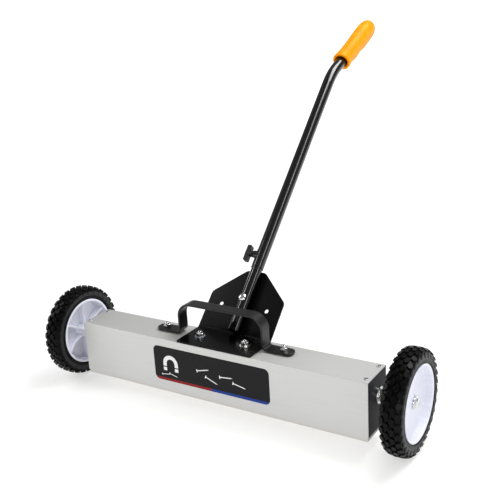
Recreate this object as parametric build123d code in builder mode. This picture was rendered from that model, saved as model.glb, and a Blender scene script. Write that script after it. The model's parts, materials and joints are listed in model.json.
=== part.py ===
from build123d import *
import os
from math import cos, radians, sin

os.makedirs("parts", exist_ok=True)

# Magnetic nail sweeper, 24 inch class, on two wheels.
# Millimetres. +Z is up, +X runs along the body and +Y runs back towards the grip.
# The origin is on the floor, at the centre of the sweeper's footprint.

# ---------------------------------------------------------------- driving dimensions

# Housing: an aluminium sleeve, open below
body_length = 610.0
body_depth = 76.0
body_height = 102.0
body_wall = 1.5
body_corner = 1.4
body_bottom = 31.0
body_y = -293.21

# Bottom tray
tray_drop = 8.0
tray_rise = 10.0
tray_wall = 1.2
tray_corner = 4.0
tray_play = 0.1

# End caps
cap_sheet = 2.0
cap_flange = 18.0
cap_recess = 0.5
cap_corner = 2.0
cap_screw_radius = 2.0
cap_screw_hole = 2.1
cap_screw_head_radius = 3.8
cap_screw_head = 2.0
cap_screw_length = 8.0
cap_screw_inset = 7.5
cap_screw_y = 26.0

# Wheels
tyre_radius = 91.0
tyre_half_width = 19.0
tread_half_width = 15.5
rim_seat_radius = 63.0
rim_flange_radius = 66.0
rim_half_width = 18.5
rim_seat_half_width = 16.0
hub_radius = 13.0
hub_inner_end = -19.6
hub_outer_end = 8.0
rib_count = 6
rib_thickness = 6.0
first_rib_angle = 30.0
wheel_x = 358.0
axle_setback = 8.0

# Axles and what is threaded on them
axle_radius = 6.0
axle_bush_radius = 8.0
running_gap = 0.06
axle_hex = 19.0
axle_head = 8.0
axle_nut = 8.0
big_washer_radius = 15.0
big_washer = 2.5
hub_washer_radius = 12.0
hub_washer = 1.5
push_nut_radius = 8.5
push_nut_height = 7.0
side_play = 0.3

# M8 fasteners
bolt_radius = 4.0
bolt_hole_radius = 4.25
nut_hex = 13.0
nut_height = 6.5
washer_radius = 10.0
washer_height = 1.6
bolt_head_height = 5.3
bolt_stick_out = 3.5
dome_head_radius = 7.2
dome_head_height = 4.6
small_washer_radius = 7.6
foot_nut_radius = 6.0
foot_nut_start = 4.0
foot_nut_height = 5.0

# Bracket: one folded steel plate, a little to the right of centre, with the pole right of its middle
bracket_x = 3.2
pole_x = 7.5
plate = 3.0
plate_lean = 46.0
plate_half_width = 80.0
plate_shoulder = 77.0
plate_top = 131.0
plate_top_half_width = 19.5
fold_radius = 3.0
fold_y = 34.0
foot_corner = 3.0
base_bolt_x = 49.0
base_bolt_y = -4.0
lower_bolt_s = 15.3
centre_bolt_s = 66.0
spare_hole_x = 50.0
spare_hole_s = 55.0

# Pole: the upper tube slides on the lower tube
lower_tube_radius = 10.7
lower_tube_wall = 1.5
lower_tube_start = 1.5
lower_tube_end = 520.0
upper_tube_radius = 12.0
upper_tube_bore = 10.8
upper_tube_start = 133.0
pole_bend_s = 605.0
pole_bend_angle = 21.0
pole_bend_radius = 140.0

# Grip
grip_from_bend = 52.0
grip_length = 172.0
grip_mouth_radius = 20.8
grip_waist_radius = 19.0
grip_palm_radius = 22.2
grip_socket = 134.0
grip_recess_radius = 15.0
grip_recess = 9.0
hang_hole_s = 154.0
hang_hole_radius = 3.5

# Pole clamp
clamp_s = upper_tube_start + 29.0
clamp_boss_radius = 7.5
clamp_boss_end = 18.0
clamp_thread_radius = 4.0
clamp_thread_gap = 0.08
knob_start = 20.0
knob_hub = 7.0
knob_bar_length = 33.0
knob_bar_width = 13.0
knob_bar_thickness = 10.0

# Lift handle and the magnet carriage hung below it
strap_width = 25.0
strap_thickness = 4.0
strap_y = 5.0
strap_foot_end = 147.0
strap_leg_x = 90.0
strap_height = 65.0
strap_top_bend = 26.0
strap_foot_bend = 9.0
strap_edge = 0.9
rod_x = 128.0
rod_radius = 4.0
bush_radius = 6.45
bush_hole_radius = 6.5
bush_flange_radius = 10.0
bush_flange = 1.5
bush_drop = 7.0
magnet_gap = 1.0
magnet_count = 9
magnet_pitch = 62.0
magnet_size = (58.0, 50.0, 22.0)
channel_web = 4.0
channel_side = 3.0
channel_skirt = 12.0
channel_length = 560.0

# Label on the front face
label_length = 252.0
label_height = 69.0
label_corner = 10.0
label_thickness = 0.3
label_x = -6.0
label_z = 83.5

# ---------------------------------------------------------------- derived places

body_top = body_bottom + body_height
top_underside = body_top - body_wall
front_face_y = body_y - body_depth / 2
axle_y = body_y + axle_setback
axle_z = tyre_radius
cap_outer_x = body_length / 2 - cap_recess
cap_inner_x = cap_outer_x - cap_sheet
axle_nut_x = cap_outer_x + big_washer
spacer_x = axle_nut_x + axle_nut
hub_inner_x = wheel_x + hub_inner_end
hub_outer_x = wheel_x + hub_outer_end
hub_washer_x = hub_outer_x + side_play
push_nut_x = hub_washer_x + hub_washer
axle_in_push_nut = push_nut_height - 2.4
axle_end_x = push_nut_x + axle_in_push_nut

# The plate's front face rises from the fold along plate_up; plate_out points off it.
lean = radians(plate_lean)
plate_up = Vector(0, sin(lean), cos(lean))
plate_out = Vector(0, -cos(lean), sin(lean))
fold_point = Vector(bracket_x, body_y + fold_y, body_top + plate)
pole_offset = pole_x - bracket_x
pole_foot = fold_point + Vector(pole_offset, 0, 0) + plate_out * lower_tube_radius
grip_lean = radians(plate_lean + pole_bend_angle)
grip_way = Vector(0, sin(grip_lean), cos(grip_lean))
bend_point = pole_foot + plate_up * pole_bend_s
grip_mouth = bend_point + grip_way * grip_from_bend


def across_plate(x, s, out):
    """A plane facing off the plate, x from its middle, s up it and out from its front face."""
    place = fold_point + Vector(x, 0, 0) + plate_up * s + plate_out * out
    return Plane(origin=place, x_dir=(1, 0, 0), z_dir=plate_out)


def across_pole(s):
    """A plane square to the pole, s along it."""
    return Plane(origin=pole_foot + plate_up * s, x_dir=(1, 0, 0), z_dir=plate_up)


def on_top(x, y, lift=0.0):
    """A plane facing up at the housing's top."""
    return Plane(origin=(x, body_y + y, body_top + lift))


def across_axle(side, x):
    """A plane square to the axle line, facing outwards, on one side of the body."""
    return Plane(origin=(side * x, axle_y, axle_z), x_dir=(0, 1, 0), z_dir=(side, 0, 0))


def along_axle(side, angle):
    """A half section of a wheel: local x runs outwards, local y runs out along a radius."""
    turn = radians(angle)
    return Plane(
        origin=(side * wheel_x, axle_y, axle_z),
        x_dir=(side, 0, 0),
        z_dir=(0, -side * sin(turn), side * cos(turn)),
    )


def across_clamp(out):
    """A plane square to the clamp screw, out from the pole's centre line, facing left."""
    place = pole_foot + plate_up * clamp_s + Vector(-out, 0, 0)
    return Plane(origin=place, x_dir=plate_up, z_dir=(-1, 0, 0))


axle_line = Axis((0, axle_y, axle_z), (1, 0, 0))

# ---------------------------------------------------------------- standard fasteners


def make_nut(across_flats, height, bore):
    """A hexagon nut with turned-off corners at both faces, its lower face at the origin."""
    face_radius = across_flats * 0.48
    corner_radius = across_flats * 0.57
    with BuildPart() as nut:
        with BuildSketch():
            RegularPolygon(across_flats / 2, 6, major_radius=False)
        extrude(amount=height)
        with BuildSketch(Plane.XZ):
            with BuildLine():
                Polyline(
                    (0, 0),
                    (face_radius, 0),
                    (corner_radius, height * 0.13),
                    (corner_radius, height * 0.87),
                    (face_radius, height),
                    (0, height),
                    close=True,
                )
            make_face()
        revolve(axis=Axis.Z, mode=Mode.INTERSECT)
        Hole(bore)
    return nut


def make_washer(radius, bore, height):
    """A flat washer, its lower face at the origin."""
    with BuildPart() as washer:
        with BuildSketch():
            Circle(radius)
            Circle(bore, mode=Mode.SUBTRACT)
        extrude(amount=height)
    return washer


def make_hex_bolt(across_flats, head, radius, length):
    """A hexagon bolt: its head below the origin, its shank up from it, with a rounded end."""
    with BuildPart() as bolt:
        with BuildSketch(Plane.XY.offset(-head)):
            RegularPolygon(across_flats / 2, 6, major_radius=False)
        extrude(amount=head)
        with BuildSketch():
            Circle(radius)
        extrude(amount=length)
        fillet(bolt.edges().filter_by(GeomType.CIRCLE).sort_by(Axis.Z)[-1], radius * 0.5)
    return bolt


def make_dome_bolt(head_radius, head, radius, length):
    """A domed bolt: its head above the origin, its shank down from it."""
    with BuildPart() as bolt:
        with BuildSketch(Plane.XZ):
            with BuildLine():
                Polyline(
                    (0, head),
                    (0, -length),
                    (radius, -length),
                    (radius, 0),
                    (head_radius, 0),
                    (head_radius, head * 0.3),
                )
                TangentArc((0, head), (head_radius, head * 0.3), tangent=(1, 0))
            make_face()
        revolve(axis=Axis.Z)
    return bolt


def make_group(piece, planes):
    """Copies of one fastener, each on its own plane."""
    with BuildPart() as group:
        with Locations(*planes):
            add(piece.part)
    return group


# ---------------------------------------------------------------- housing, tray, end caps

rod_planes = [on_top(-rod_x, strap_y), on_top(rod_x, strap_y)]
base_bolt_planes = [on_top(bracket_x + x, base_bolt_y) for x in (-base_bolt_x, base_bolt_x)]
cap_screw_x = cap_outer_x - cap_screw_inset
cap_screw_places = [(x, y) for x in (-cap_screw_x, cap_screw_x) for y in (-cap_screw_y, cap_screw_y)]
cap_screw_planes = [on_top(x, y) for x, y in cap_screw_places]

# The housing: one aluminium sleeve with square corners, open along its underside.
with BuildPart() as housing:
    with BuildSketch(Plane.YZ.offset(-body_length / 2)):
        with Locations((body_y, body_bottom + body_height / 2)):
            Rectangle(body_depth, body_height)
        with Locations((body_y, body_bottom + (body_height - body_wall) / 2)):
            Rectangle(body_depth - 2 * body_wall, body_height - body_wall, mode=Mode.SUBTRACT)
    extrude(amount=body_length)
    fillet(housing.edges().filter_by(Axis.X).group_by(Axis.Z)[-1], body_corner)
    with Locations(*rod_planes):
        Hole(bush_hole_radius)
    with Locations(*base_bolt_planes):
        Hole(bolt_hole_radius)
    with Locations(*cap_screw_planes):
        Hole(cap_screw_hole)
housing.part.label = "housing"
export_step(housing.part, "parts/housing.step")

# The tray: a thin non-magnetic pan whose long walls are bonded inside the housing.
tray_bottom = body_bottom - tray_drop
tray_height = tray_drop + tray_rise
tray_width = body_depth - 2 * body_wall - 2 * tray_play
tray_length = body_length - 2.0
with BuildPart() as bottom_tray:
    with BuildSketch(Plane.XY.offset(tray_bottom)):
        with Locations((0, body_y)):
            Rectangle(tray_length, tray_width)
    extrude(amount=tray_height)
    fillet(bottom_tray.faces().sort_by(Axis.Z)[0].edges(), tray_corner)
    with BuildSketch(Plane.XY.offset(tray_bottom + tray_wall)):
        with Locations((0, body_y)):
            Rectangle(tray_length - 2 * tray_wall, tray_width - 2 * tray_wall)
    extrude(amount=tray_height, mode=Mode.SUBTRACT)
    with BuildSketch(Plane.XY.offset(body_bottom - 0.2)):
        with Locations((0, body_y)):
            Rectangle(tray_length + 2, tray_width - 2 * tray_wall)
    extrude(amount=tray_height, mode=Mode.SUBTRACT)
bottom_tray.part.label = "bottom_tray"
export_step(bottom_tray.part, "parts/bottom_tray.step")

# The end caps: folded steel pans. The face carries the axle and the top flange takes two screws.
cap_width = tray_width - 2 * tray_wall - 0.2
cap_height = body_height - body_wall - 0.3


def make_end_cap(side):
    middle_z = top_underside - 0.1 - cap_height / 2
    face = Plane(origin=(side * cap_outer_x, body_y, middle_z), x_dir=(0, 1, 0), z_dir=(-side, 0, 0))
    with BuildPart() as cap:
        with BuildSketch(face):
            Rectangle(cap_width, cap_height)
        extrude(amount=cap_flange)
        outer_face = cap.faces().sort_by(Axis.X)[-1 if side > 0 else 0]
        fillet(outer_face.edges(), cap_corner)
        with BuildSketch(face.offset(cap_sheet)):
            Rectangle(cap_width - 2 * cap_sheet, cap_height - 2 * cap_sheet)
        extrude(amount=cap_flange, mode=Mode.SUBTRACT)
        with BuildSketch(across_axle(side, cap_outer_x)):
            Circle(axle_radius + 0.1)
        extrude(amount=-2 * cap_sheet, mode=Mode.SUBTRACT)
        with BuildSketch(*[on_top(side * cap_screw_x, y) for y in (-cap_screw_y, cap_screw_y)]):
            Circle(cap_screw_hole)
        extrude(amount=-8.0, mode=Mode.SUBTRACT)
    return cap


end_cap_left = make_end_cap(-1)
end_cap_left.part.label = "end_cap_left"
export_step(end_cap_left.part, "parts/end_cap_left.step")

end_cap_right = make_end_cap(1)
end_cap_right.part.label = "end_cap_right"
export_step(end_cap_right.part, "parts/end_cap_right.step")

cap_screw = make_dome_bolt(cap_screw_head_radius, cap_screw_head, cap_screw_radius, cap_screw_length)
cap_screws = make_group(cap_screw, cap_screw_planes)
cap_screws.part.label = "cap_screws"
export_step(cap_screws.part, "parts/cap_screws.step")

# The label: a thin printed plate with rounded corners on the front face.
with BuildPart() as label:
    front = Plane(origin=(label_x, front_face_y, label_z), x_dir=(1, 0, 0), z_dir=(0, -1, 0))
    with BuildSketch(front):
        RectangleRounded(label_length, label_height, label_corner)
    extrude(amount=label_thickness)
label.part.label = "label"
export_step(label.part, "parts/label.step")

# ---------------------------------------------------------------- axles and wheels


def make_axle(side):
    """An axle bolt: its hexagon head inside the end cap, its shank out through the wheel."""
    with BuildPart() as axle:
        with BuildSketch(across_axle(side, cap_inner_x - axle_head)):
            RegularPolygon(axle_hex / 2, 6, major_radius=False)
        extrude(amount=axle_head)
        with BuildSketch(across_axle(side, cap_inner_x)):
            Circle(axle_radius)
        extrude(amount=axle_end_x - cap_inner_x)
    return axle


def make_spacer(side):
    """A sleeve that holds the wheel off the end cap."""
    with BuildPart() as spacer:
        with BuildSketch(across_axle(side, spacer_x)):
            Circle(axle_bush_radius + 1.0)
            Circle(axle_radius + running_gap, mode=Mode.SUBTRACT)
        extrude(amount=hub_inner_x - side_play - spacer_x)
    return spacer


def make_push_nut():
    """A domed cap pressed over the end of an axle, open towards the wheel."""
    edge = push_nut_radius
    top = push_nut_height
    with BuildPart() as cap:
        with BuildSketch(Plane.XZ):
            with BuildLine():
                Polyline(
                    (0, top),
                    (0, 0),
                    (edge + 1.5, 0),
                    (edge + 1.5, 0.8),
                    (edge, 1.6),
                    (edge, top * 0.55),
                )
                TangentArc((0, top), (edge, top * 0.55), tangent=(1, 0))
            make_face()
        revolve(axis=Axis.Z)
        with BuildSketch():
            Circle(axle_radius)
        extrude(amount=axle_in_push_nut, mode=Mode.SUBTRACT)
    return cap


def make_rim(side):
    """A moulded white wheel: dished web, round hub, deep barrel and ribs on the inner side."""
    with BuildPart() as rim:
        with BuildSketch(along_axle(side, 90.0)):
            with BuildLine():
                Polyline(
                    (hub_inner_end, axle_bush_radius),
                    (hub_outer_end, axle_bush_radius),
                    (hub_outer_end, hub_radius),
                    (5.0, hub_radius + 1.5),
                    (7.0, 50.0),
                    (rim_half_width, 63.6),
                    (rim_half_width, rim_flange_radius),
                    (rim_seat_half_width, rim_flange_radius),
                    (rim_seat_half_width, rim_seat_radius),
                    (-rim_seat_half_width, rim_seat_radius),
                    (-rim_seat_half_width, rim_flange_radius),
                    (-rim_half_width, rim_flange_radius),
                    (-rim_half_width, 61.0),
                    (11.2, 59.6),
                    (4.0, 51.4),
                    (1.8, hub_radius + 2.0),
                    (hub_inner_end, hub_radius),
                    close=True,
                )
            make_face()
        revolve(axis=axle_line)
        for rib in range(rib_count):
            angle = first_rib_angle + rib * 360.0 / rib_count
            with BuildSketch(along_axle(side, angle)):
                with BuildLine():
                    ThreePointArc((-16.0, 11.0), (-9.0, 36.0), (-15.5, 62.0))
                    Polyline(
                        (-15.5, 62.0),
                        (10.5, 61.8),
                        (8.3, 54.0),
                        (5.5, 50.0),
                        (3.6, 15.0),
                        (3.6, 11.0),
                        (-16.0, 11.0),
                    )
                make_face()
            extrude(amount=rib_thickness / 2, both=True)
    return rim


def make_tyre(side):
    """A solid rubber tyre seated between the flanges of the wheel."""
    with BuildPart() as tyre:
        with BuildSketch(along_axle(side, 90.0)):
            with BuildLine():
                Polyline(
                    (-rim_seat_half_width + 0.1, rim_seat_radius),
                    (rim_seat_half_width - 0.1, rim_seat_radius),
                    (rim_seat_half_width - 0.1, rim_flange_radius + 0.8),
                    (rim_half_width, rim_flange_radius + 1.4),
                )
                ThreePointArc(
                    (rim_half_width, rim_flange_radius + 1.4),
                    (tyre_half_width, 77.0),
                    (tread_half_width + 1.0, tyre_radius - 2.0),
                )
                ThreePointArc(
                    (tread_half_width + 1.0, tyre_radius - 2.0),
                    (0.0, tyre_radius),
                    (-tread_half_width - 1.0, tyre_radius - 2.0),
                )
                ThreePointArc(
                    (-tread_half_width - 1.0, tyre_radius - 2.0),
                    (-tyre_half_width, 77.0),
                    (-rim_half_width, rim_flange_radius + 1.4),
                )
                Polyline(
                    (-rim_half_width, rim_flange_radius + 1.4),
                    (-rim_seat_half_width + 0.1, rim_flange_radius + 0.8),
                    (-rim_seat_half_width + 0.1, rim_seat_radius),
                )
            make_face()
        revolve(axis=axle_line)
    return tyre


def make_hub_bush(side):
    """A plain bearing bush pressed into the hub, turning on the axle."""
    with BuildPart() as bush:
        with BuildSketch(across_axle(side, hub_inner_x)):
            Circle(axle_bush_radius)
            Circle(axle_radius + running_gap, mode=Mode.SUBTRACT)
        extrude(amount=hub_outer_x - hub_inner_x)
    return bush


for name, side in (("left", -1), ("right", 1)):
    axle = make_axle(side)
    axle.part.label = f"axle_{name}"
    export_step(axle.part, f"parts/axle_{name}.step")

    rim = make_rim(side)
    rim.part.label = f"wheel_rim_{name}"
    export_step(rim.part, f"parts/wheel_rim_{name}.step")

    tyre = make_tyre(side)
    tyre.part.label = f"tyre_{name}"
    export_step(tyre.part, f"parts/tyre_{name}.step")

    bush = make_hub_bush(side)
    bush.part.label = f"hub_bush_{name}"
    export_step(bush.part, f"parts/hub_bush_{name}.step")

with BuildPart() as axle_spacers:
    add(make_spacer(-1).part)
    add(make_spacer(1).part)
axle_spacers.part.label = "axle_spacers"
export_step(axle_spacers.part, "parts/axle_spacers.step")

cap_washer = make_washer(big_washer_radius, axle_radius + 0.1, big_washer)
axle_washers = make_group(cap_washer, [across_axle(-1, cap_outer_x), across_axle(1, cap_outer_x)])
axle_washers.part.label = "axle_washers"
export_step(axle_washers.part, "parts/axle_washers.step")

axle_nut_blank = make_nut(axle_hex, axle_nut, axle_radius)
axle_nuts = make_group(axle_nut_blank, [across_axle(-1, axle_nut_x), across_axle(1, axle_nut_x)])
axle_nuts.part.label = "axle_nuts"
export_step(axle_nuts.part, "parts/axle_nuts.step")

outer_washer = make_washer(hub_washer_radius, axle_radius + 0.1, hub_washer)
hub_washers = make_group(outer_washer, [across_axle(-1, hub_washer_x), across_axle(1, hub_washer_x)])
hub_washers.part.label = "hub_washers"
export_step(hub_washers.part, "parts/hub_washers.step")

push_nut = make_push_nut()
push_nuts = make_group(push_nut, [across_axle(-1, push_nut_x), across_axle(1, push_nut_x)])
push_nuts.part.label = "push_nuts"
export_step(push_nuts.part, "parts/push_nuts.step")

# ---------------------------------------------------------------- bracket and its fasteners

# One folded steel plate, held as two parts that meet on the middle plane of its fold:
# a flat foot on the housing and a house-shaped plate that leans back from it.
plate_end = fold_point + plate_up * plate_top
fold_plane = Plane(origin=fold_point, x_dir=(1, 0, 0), z_dir=Vector(0, 1, 0) + plate_up)
with BuildPart() as folded_plate:
    side_view = Plane(origin=(bracket_x - plate_half_width, 0, 0), x_dir=(0, 1, 0), z_dir=(1, 0, 0))
    with BuildSketch(side_view):
        with BuildLine():
            FilletPolyline(
                (front_face_y, body_top + plate),
                (fold_point.Y, fold_point.Z),
                (plate_end.Y, plate_end.Z),
                radius=fold_radius,
            )
            offset(amount=plate, side=Side.RIGHT, closed=True)
        make_face()
    extrude(amount=2 * plate_half_width)
    with BuildSketch(across_plate(0, 0, 0)):
        with BuildLine():
            Polyline(
                (-plate_half_width, -80.0),
                (plate_half_width, -80.0),
                (plate_half_width, plate_shoulder),
                (plate_top_half_width, plate_top),
                (-plate_top_half_width, plate_top),
                (-plate_half_width, plate_shoulder),
                close=True,
            )
        make_face()
    extrude(amount=120.0, both=True, mode=Mode.INTERSECT)
    front_corners = folded_plate.edges().filter_by(Axis.Z).group_by(Axis.Y)[0]
    fillet(front_corners, foot_corner)
    with Locations(*base_bolt_planes):
        Hole(bolt_hole_radius, depth=20.0)
    with BuildSketch(across_plate(0, 0, 10.0)):
        with Locations(
            (pole_offset, lower_bolt_s),
            (pole_offset, centre_bolt_s),
            (-spare_hole_x, spare_hole_s),
            (spare_hole_x, spare_hole_s),
        ):
            Circle(bolt_hole_radius)
    extrude(amount=-20.0, mode=Mode.SUBTRACT)

with BuildPart() as bracket_foot:
    add(folded_plate.part)
    split(bisect_by=fold_plane, keep=Keep.BOTTOM)
bracket_foot.part.label = "bracket_foot"
export_step(bracket_foot.part, "parts/bracket_foot.step")

with BuildPart() as bracket_plate:
    add(folded_plate.part)
    split(bisect_by=fold_plane, keep=Keep.TOP)
bracket_plate.part.label = "bracket_plate"
export_step(bracket_plate.part, "parts/bracket_plate.step")

nut = make_nut(nut_hex, nut_height, bolt_radius)
washer = make_washer(washer_radius, bolt_hole_radius, washer_height)

# Two bolts rise through the housing's top; washers and nuts clamp the foot of the bracket.
base_stack = body_wall + plate + washer_height + nut_height
base_bolt = make_hex_bolt(nut_hex, bolt_head_height, bolt_radius, base_stack + bolt_stick_out)
bracket_bolts = make_group(base_bolt, [plane.offset(-body_wall) for plane in base_bolt_planes])
bracket_bolts.part.label = "bracket_bolts"
export_step(bracket_bolts.part, "parts/bracket_bolts.step")

bracket_washers = make_group(washer, [plane.offset(plate) for plane in base_bolt_planes])
bracket_washers.part.label = "bracket_washers"
export_step(bracket_washers.part, "parts/bracket_washers.step")

bracket_nuts = make_group(nut, [plane.offset(plate + washer_height) for plane in base_bolt_planes])
bracket_nuts.part.label = "bracket_nuts"
export_step(bracket_nuts.part, "parts/bracket_nuts.step")

# ---------------------------------------------------------------- lower tube and its bolts

tube_front = 2 * lower_tube_radius
bolt_front = across_plate(pole_offset, centre_bolt_s, tube_front)


def behind_plate(s):
    """A plane on the back of the bracket at the pole's line, facing back."""
    return Plane(origin=across_plate(pole_offset, s, -plate).origin, x_dir=(1, 0, 0), z_dir=-plate_out)


# The tube is bored through for its centre bolt and through its back wall for its foot bolt.
with BuildPart() as lower_tube:
    with BuildSketch(across_pole(lower_tube_start)):
        Circle(lower_tube_radius)
        Circle(lower_tube_radius - lower_tube_wall, mode=Mode.SUBTRACT)
    extrude(amount=lower_tube_end - lower_tube_start)
    with BuildSketch(bolt_front):
        Circle(bolt_hole_radius)
    extrude(amount=-tube_front - 1.0, mode=Mode.SUBTRACT)
    with BuildSketch(across_plate(pole_offset, lower_bolt_s, -1.0)):
        Circle(bolt_hole_radius)
    extrude(amount=lower_tube_radius, mode=Mode.SUBTRACT)
lower_tube.part.label = "lower_tube"
export_step(lower_tube.part, "parts/lower_tube.step")

# A domed bolt goes through tube and plate from the front. A hexagon bolt comes in from behind
# and turns into a round nut inside the foot of the tube.
tube_stack = washer_height + tube_front + plate + washer_height + nut_height
centre_bolt = make_dome_bolt(dome_head_radius, dome_head_height, bolt_radius, tube_stack + 2.5)
foot_bolt_length = washer_height + plate + foot_nut_start + foot_nut_height
foot_bolt = make_hex_bolt(nut_hex, bolt_head_height, bolt_radius, foot_bolt_length)
foot_bolt_place = Plane(
    origin=across_plate(pole_offset, lower_bolt_s, -plate - washer_height).origin,
    x_dir=(1, 0, 0),
    z_dir=plate_out,
)
with BuildPart() as tube_bolts:
    with Locations(bolt_front.offset(washer_height)):
        add(centre_bolt.part)
    with Locations(foot_bolt_place):
        add(foot_bolt.part)
tube_bolts.part.label = "tube_bolts"
export_step(tube_bolts.part, "parts/tube_bolts.step")

tube_washer = make_washer(small_washer_radius, bolt_hole_radius, washer_height)
washer_planes = [bolt_front, behind_plate(centre_bolt_s), behind_plate(lower_bolt_s)]
tube_washers = make_group(tube_washer, washer_planes)
tube_washers.part.label = "tube_washers"
export_step(tube_washers.part, "parts/tube_washers.step")

with BuildPart() as tube_nuts:
    with Locations(behind_plate(centre_bolt_s).offset(washer_height)):
        add(nut.part)
    with BuildSketch(across_plate(pole_offset, lower_bolt_s, foot_nut_start)):
        Circle(foot_nut_radius)
        Circle(bolt_radius, mode=Mode.SUBTRACT)
    extrude(amount=foot_nut_height)
tube_nuts.part.label = "tube_nuts"
export_step(tube_nuts.part, "parts/tube_nuts.step")

# ---------------------------------------------------------------- sliding handle

# The upper tube: straight, then bent back a little just below the grip.
tube_tip = grip_mouth + grip_way * (grip_socket - 2.0)
with BuildPart() as upper_tube:
    with BuildLine():
        FilletPolyline(
            pole_foot + plate_up * upper_tube_start,
            bend_point,
            tube_tip,
            radius=pole_bend_radius,
        )
    with BuildSketch(across_pole(upper_tube_start)):
        Circle(upper_tube_radius)
        Circle(upper_tube_bore, mode=Mode.SUBTRACT)
    sweep()
    with BuildSketch(across_clamp(0)):
        Circle(clamp_thread_radius + 0.3)
    extrude(amount=2 * upper_tube_radius, mode=Mode.SUBTRACT)
upper_tube.part.label = "upper_tube"
export_step(upper_tube.part, "parts/upper_tube.step")

# The clamp boss: a threaded boss welded to the left side of the upper tube.
with BuildPart() as clamp_boss:
    with BuildSketch(across_clamp(6.0)):
        Circle(clamp_boss_radius)
        Circle(clamp_thread_radius + clamp_thread_gap, mode=Mode.SUBTRACT)
    extrude(amount=clamp_boss_end - 6.0)
    chamfer(clamp_boss.faces().sort_by(Axis.X)[0].edges().sort_by(SortBy.LENGTH)[-1], 1.0)
    with BuildSketch(across_pole(clamp_s - 20.0)):
        Circle(upper_tube_radius)
    extrude(amount=40.0, mode=Mode.SUBTRACT)
clamp_boss.part.label = "clamp_boss"
export_step(clamp_boss.part, "parts/clamp_boss.step")

# The grip: a moulded handle, flared at its mouth, full in the palm, with a hanging hole.
grip_axis = Axis(grip_mouth, grip_way)
grip_side = Plane(origin=grip_mouth, x_dir=grip_way, z_dir=(1, 0, 0))
with BuildPart() as grip:
    with BuildSketch(grip_side):
        with BuildLine():
            outline = Spline(
                (0, grip_mouth_radius),
                (16, grip_waist_radius + 0.3),
                (45, grip_waist_radius),
                (85, grip_palm_radius - 1.2),
                (122, grip_palm_radius),
                (148, grip_palm_radius - 2.2),
                (grip_length - 5, 11.0),
                (grip_length, 0),
                tangents=[(1, -0.12), (0, -1)],
            )
            Line(outline @ 1, (0, 0))
            Line((0, 0), outline @ 0)
        make_face()
    revolve(axis=grip_axis)
    with BuildSketch(Plane(origin=grip_mouth, x_dir=(1, 0, 0), z_dir=grip_way)):
        Circle(upper_tube_radius)
    extrude(amount=grip_socket, mode=Mode.SUBTRACT)
    with BuildSketch(Plane(origin=grip_mouth, x_dir=(1, 0, 0), z_dir=grip_way)):
        Circle(grip_recess_radius)
    extrude(amount=grip_recess, mode=Mode.SUBTRACT)
    with BuildSketch(grip_side):
        with Locations((hang_hole_s, 0)):
            Circle(hang_hole_radius)
    extrude(amount=30.0, both=True, mode=Mode.SUBTRACT)
grip.part.label = "grip"
export_step(grip.part, "parts/grip.step")

# ---------------------------------------------------------------- pole clamp

# The clamp screw runs through the boss and bears on the lower tube.
with BuildPart() as clamp_screw:
    with BuildSketch(across_clamp(lower_tube_radius + 0.1)):
        Circle(clamp_thread_radius)
    extrude(amount=knob_start + 12.0 - lower_tube_radius)
clamp_screw.part.label = "clamp_screw"
export_step(clamp_screw.part, "parts/clamp_screw.step")

# The knob: a moulded tee on a tapered hub.
with BuildPart() as clamp_knob:
    with BuildSketch(across_clamp(knob_start)):
        Circle(knob_hub)
    with BuildSketch(across_clamp(knob_start + 8.0)):
        Circle(knob_hub - 1.2)
    loft()
    with BuildSketch(across_clamp(knob_start + 6.0)):
        SlotOverall(knob_bar_length, knob_bar_width)
    extrude(amount=knob_bar_thickness)
    fillet(clamp_knob.faces().sort_by(Axis.X)[0].edges(), 2.5)
    with BuildSketch(across_clamp(knob_start)):
        Circle(clamp_thread_radius + clamp_thread_gap)
    extrude(amount=12.5, mode=Mode.SUBTRACT)
clamp_knob.part.label = "clamp_knob"
export_step(clamp_knob.part, "parts/clamp_knob.step")

# ---------------------------------------------------------------- lift handle and magnets

# Flanged bushes in the housing's top guide the lift rods.
with BuildPart() as bush_blank:
    with BuildSketch(Plane.XY.offset(-bush_drop)):
        Circle(bush_radius)
    extrude(amount=bush_drop)
    with BuildSketch():
        Circle(bush_flange_radius)
    extrude(amount=bush_flange)
    with BuildSketch(Plane.XY.offset(-bush_drop)):
        Circle(rod_radius + running_gap)
    extrude(amount=bush_drop + bush_flange, mode=Mode.SUBTRACT)
guide_bushes = make_group(bush_blank, rod_planes)
guide_bushes.part.label = "guide_bushes"
export_step(guide_bushes.part, "parts/guide_bushes.step")

# The lift handle: one flat steel bar bent into a bridge with two rounded feet.
foot_lift = bush_flange + 0.1
foot_z = body_top + foot_lift + strap_thickness / 2
strap_top_z = body_top + strap_height - strap_thickness / 2
with BuildPart() as lift_handle:
    with BuildSketch(Plane.XZ.offset(-(body_y + strap_y) - strap_width / 2)):
        with BuildLine():
            FilletPolyline(
                (-strap_foot_end, foot_z),
                (-strap_leg_x, foot_z),
                (-strap_leg_x, strap_top_z),
                (strap_leg_x, strap_top_z),
                (strap_leg_x, foot_z),
                (strap_foot_end, foot_z),
                radius=[strap_foot_bend, strap_top_bend, strap_top_bend, strap_foot_bend],
            )
        trace(line_width=strap_thickness)
    extrude(amount=strap_width)
    foot_corners = lift_handle.edges().filter_by(Axis.Z).filter_by(
        lambda edge: abs(edge.center().X) > strap_foot_end - 1.0
    )
    fillet(foot_corners, strap_width / 2 - 2.5)
    fillet(lift_handle.faces().filter_by(Axis.Y).edges(), strap_edge)
    with Locations(*rod_planes):
        Hole(rod_radius + 0.2, depth=20.0)
lift_handle.part.label = "lift_handle"
export_step(lift_handle.part, "parts/lift_handle.step")

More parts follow.
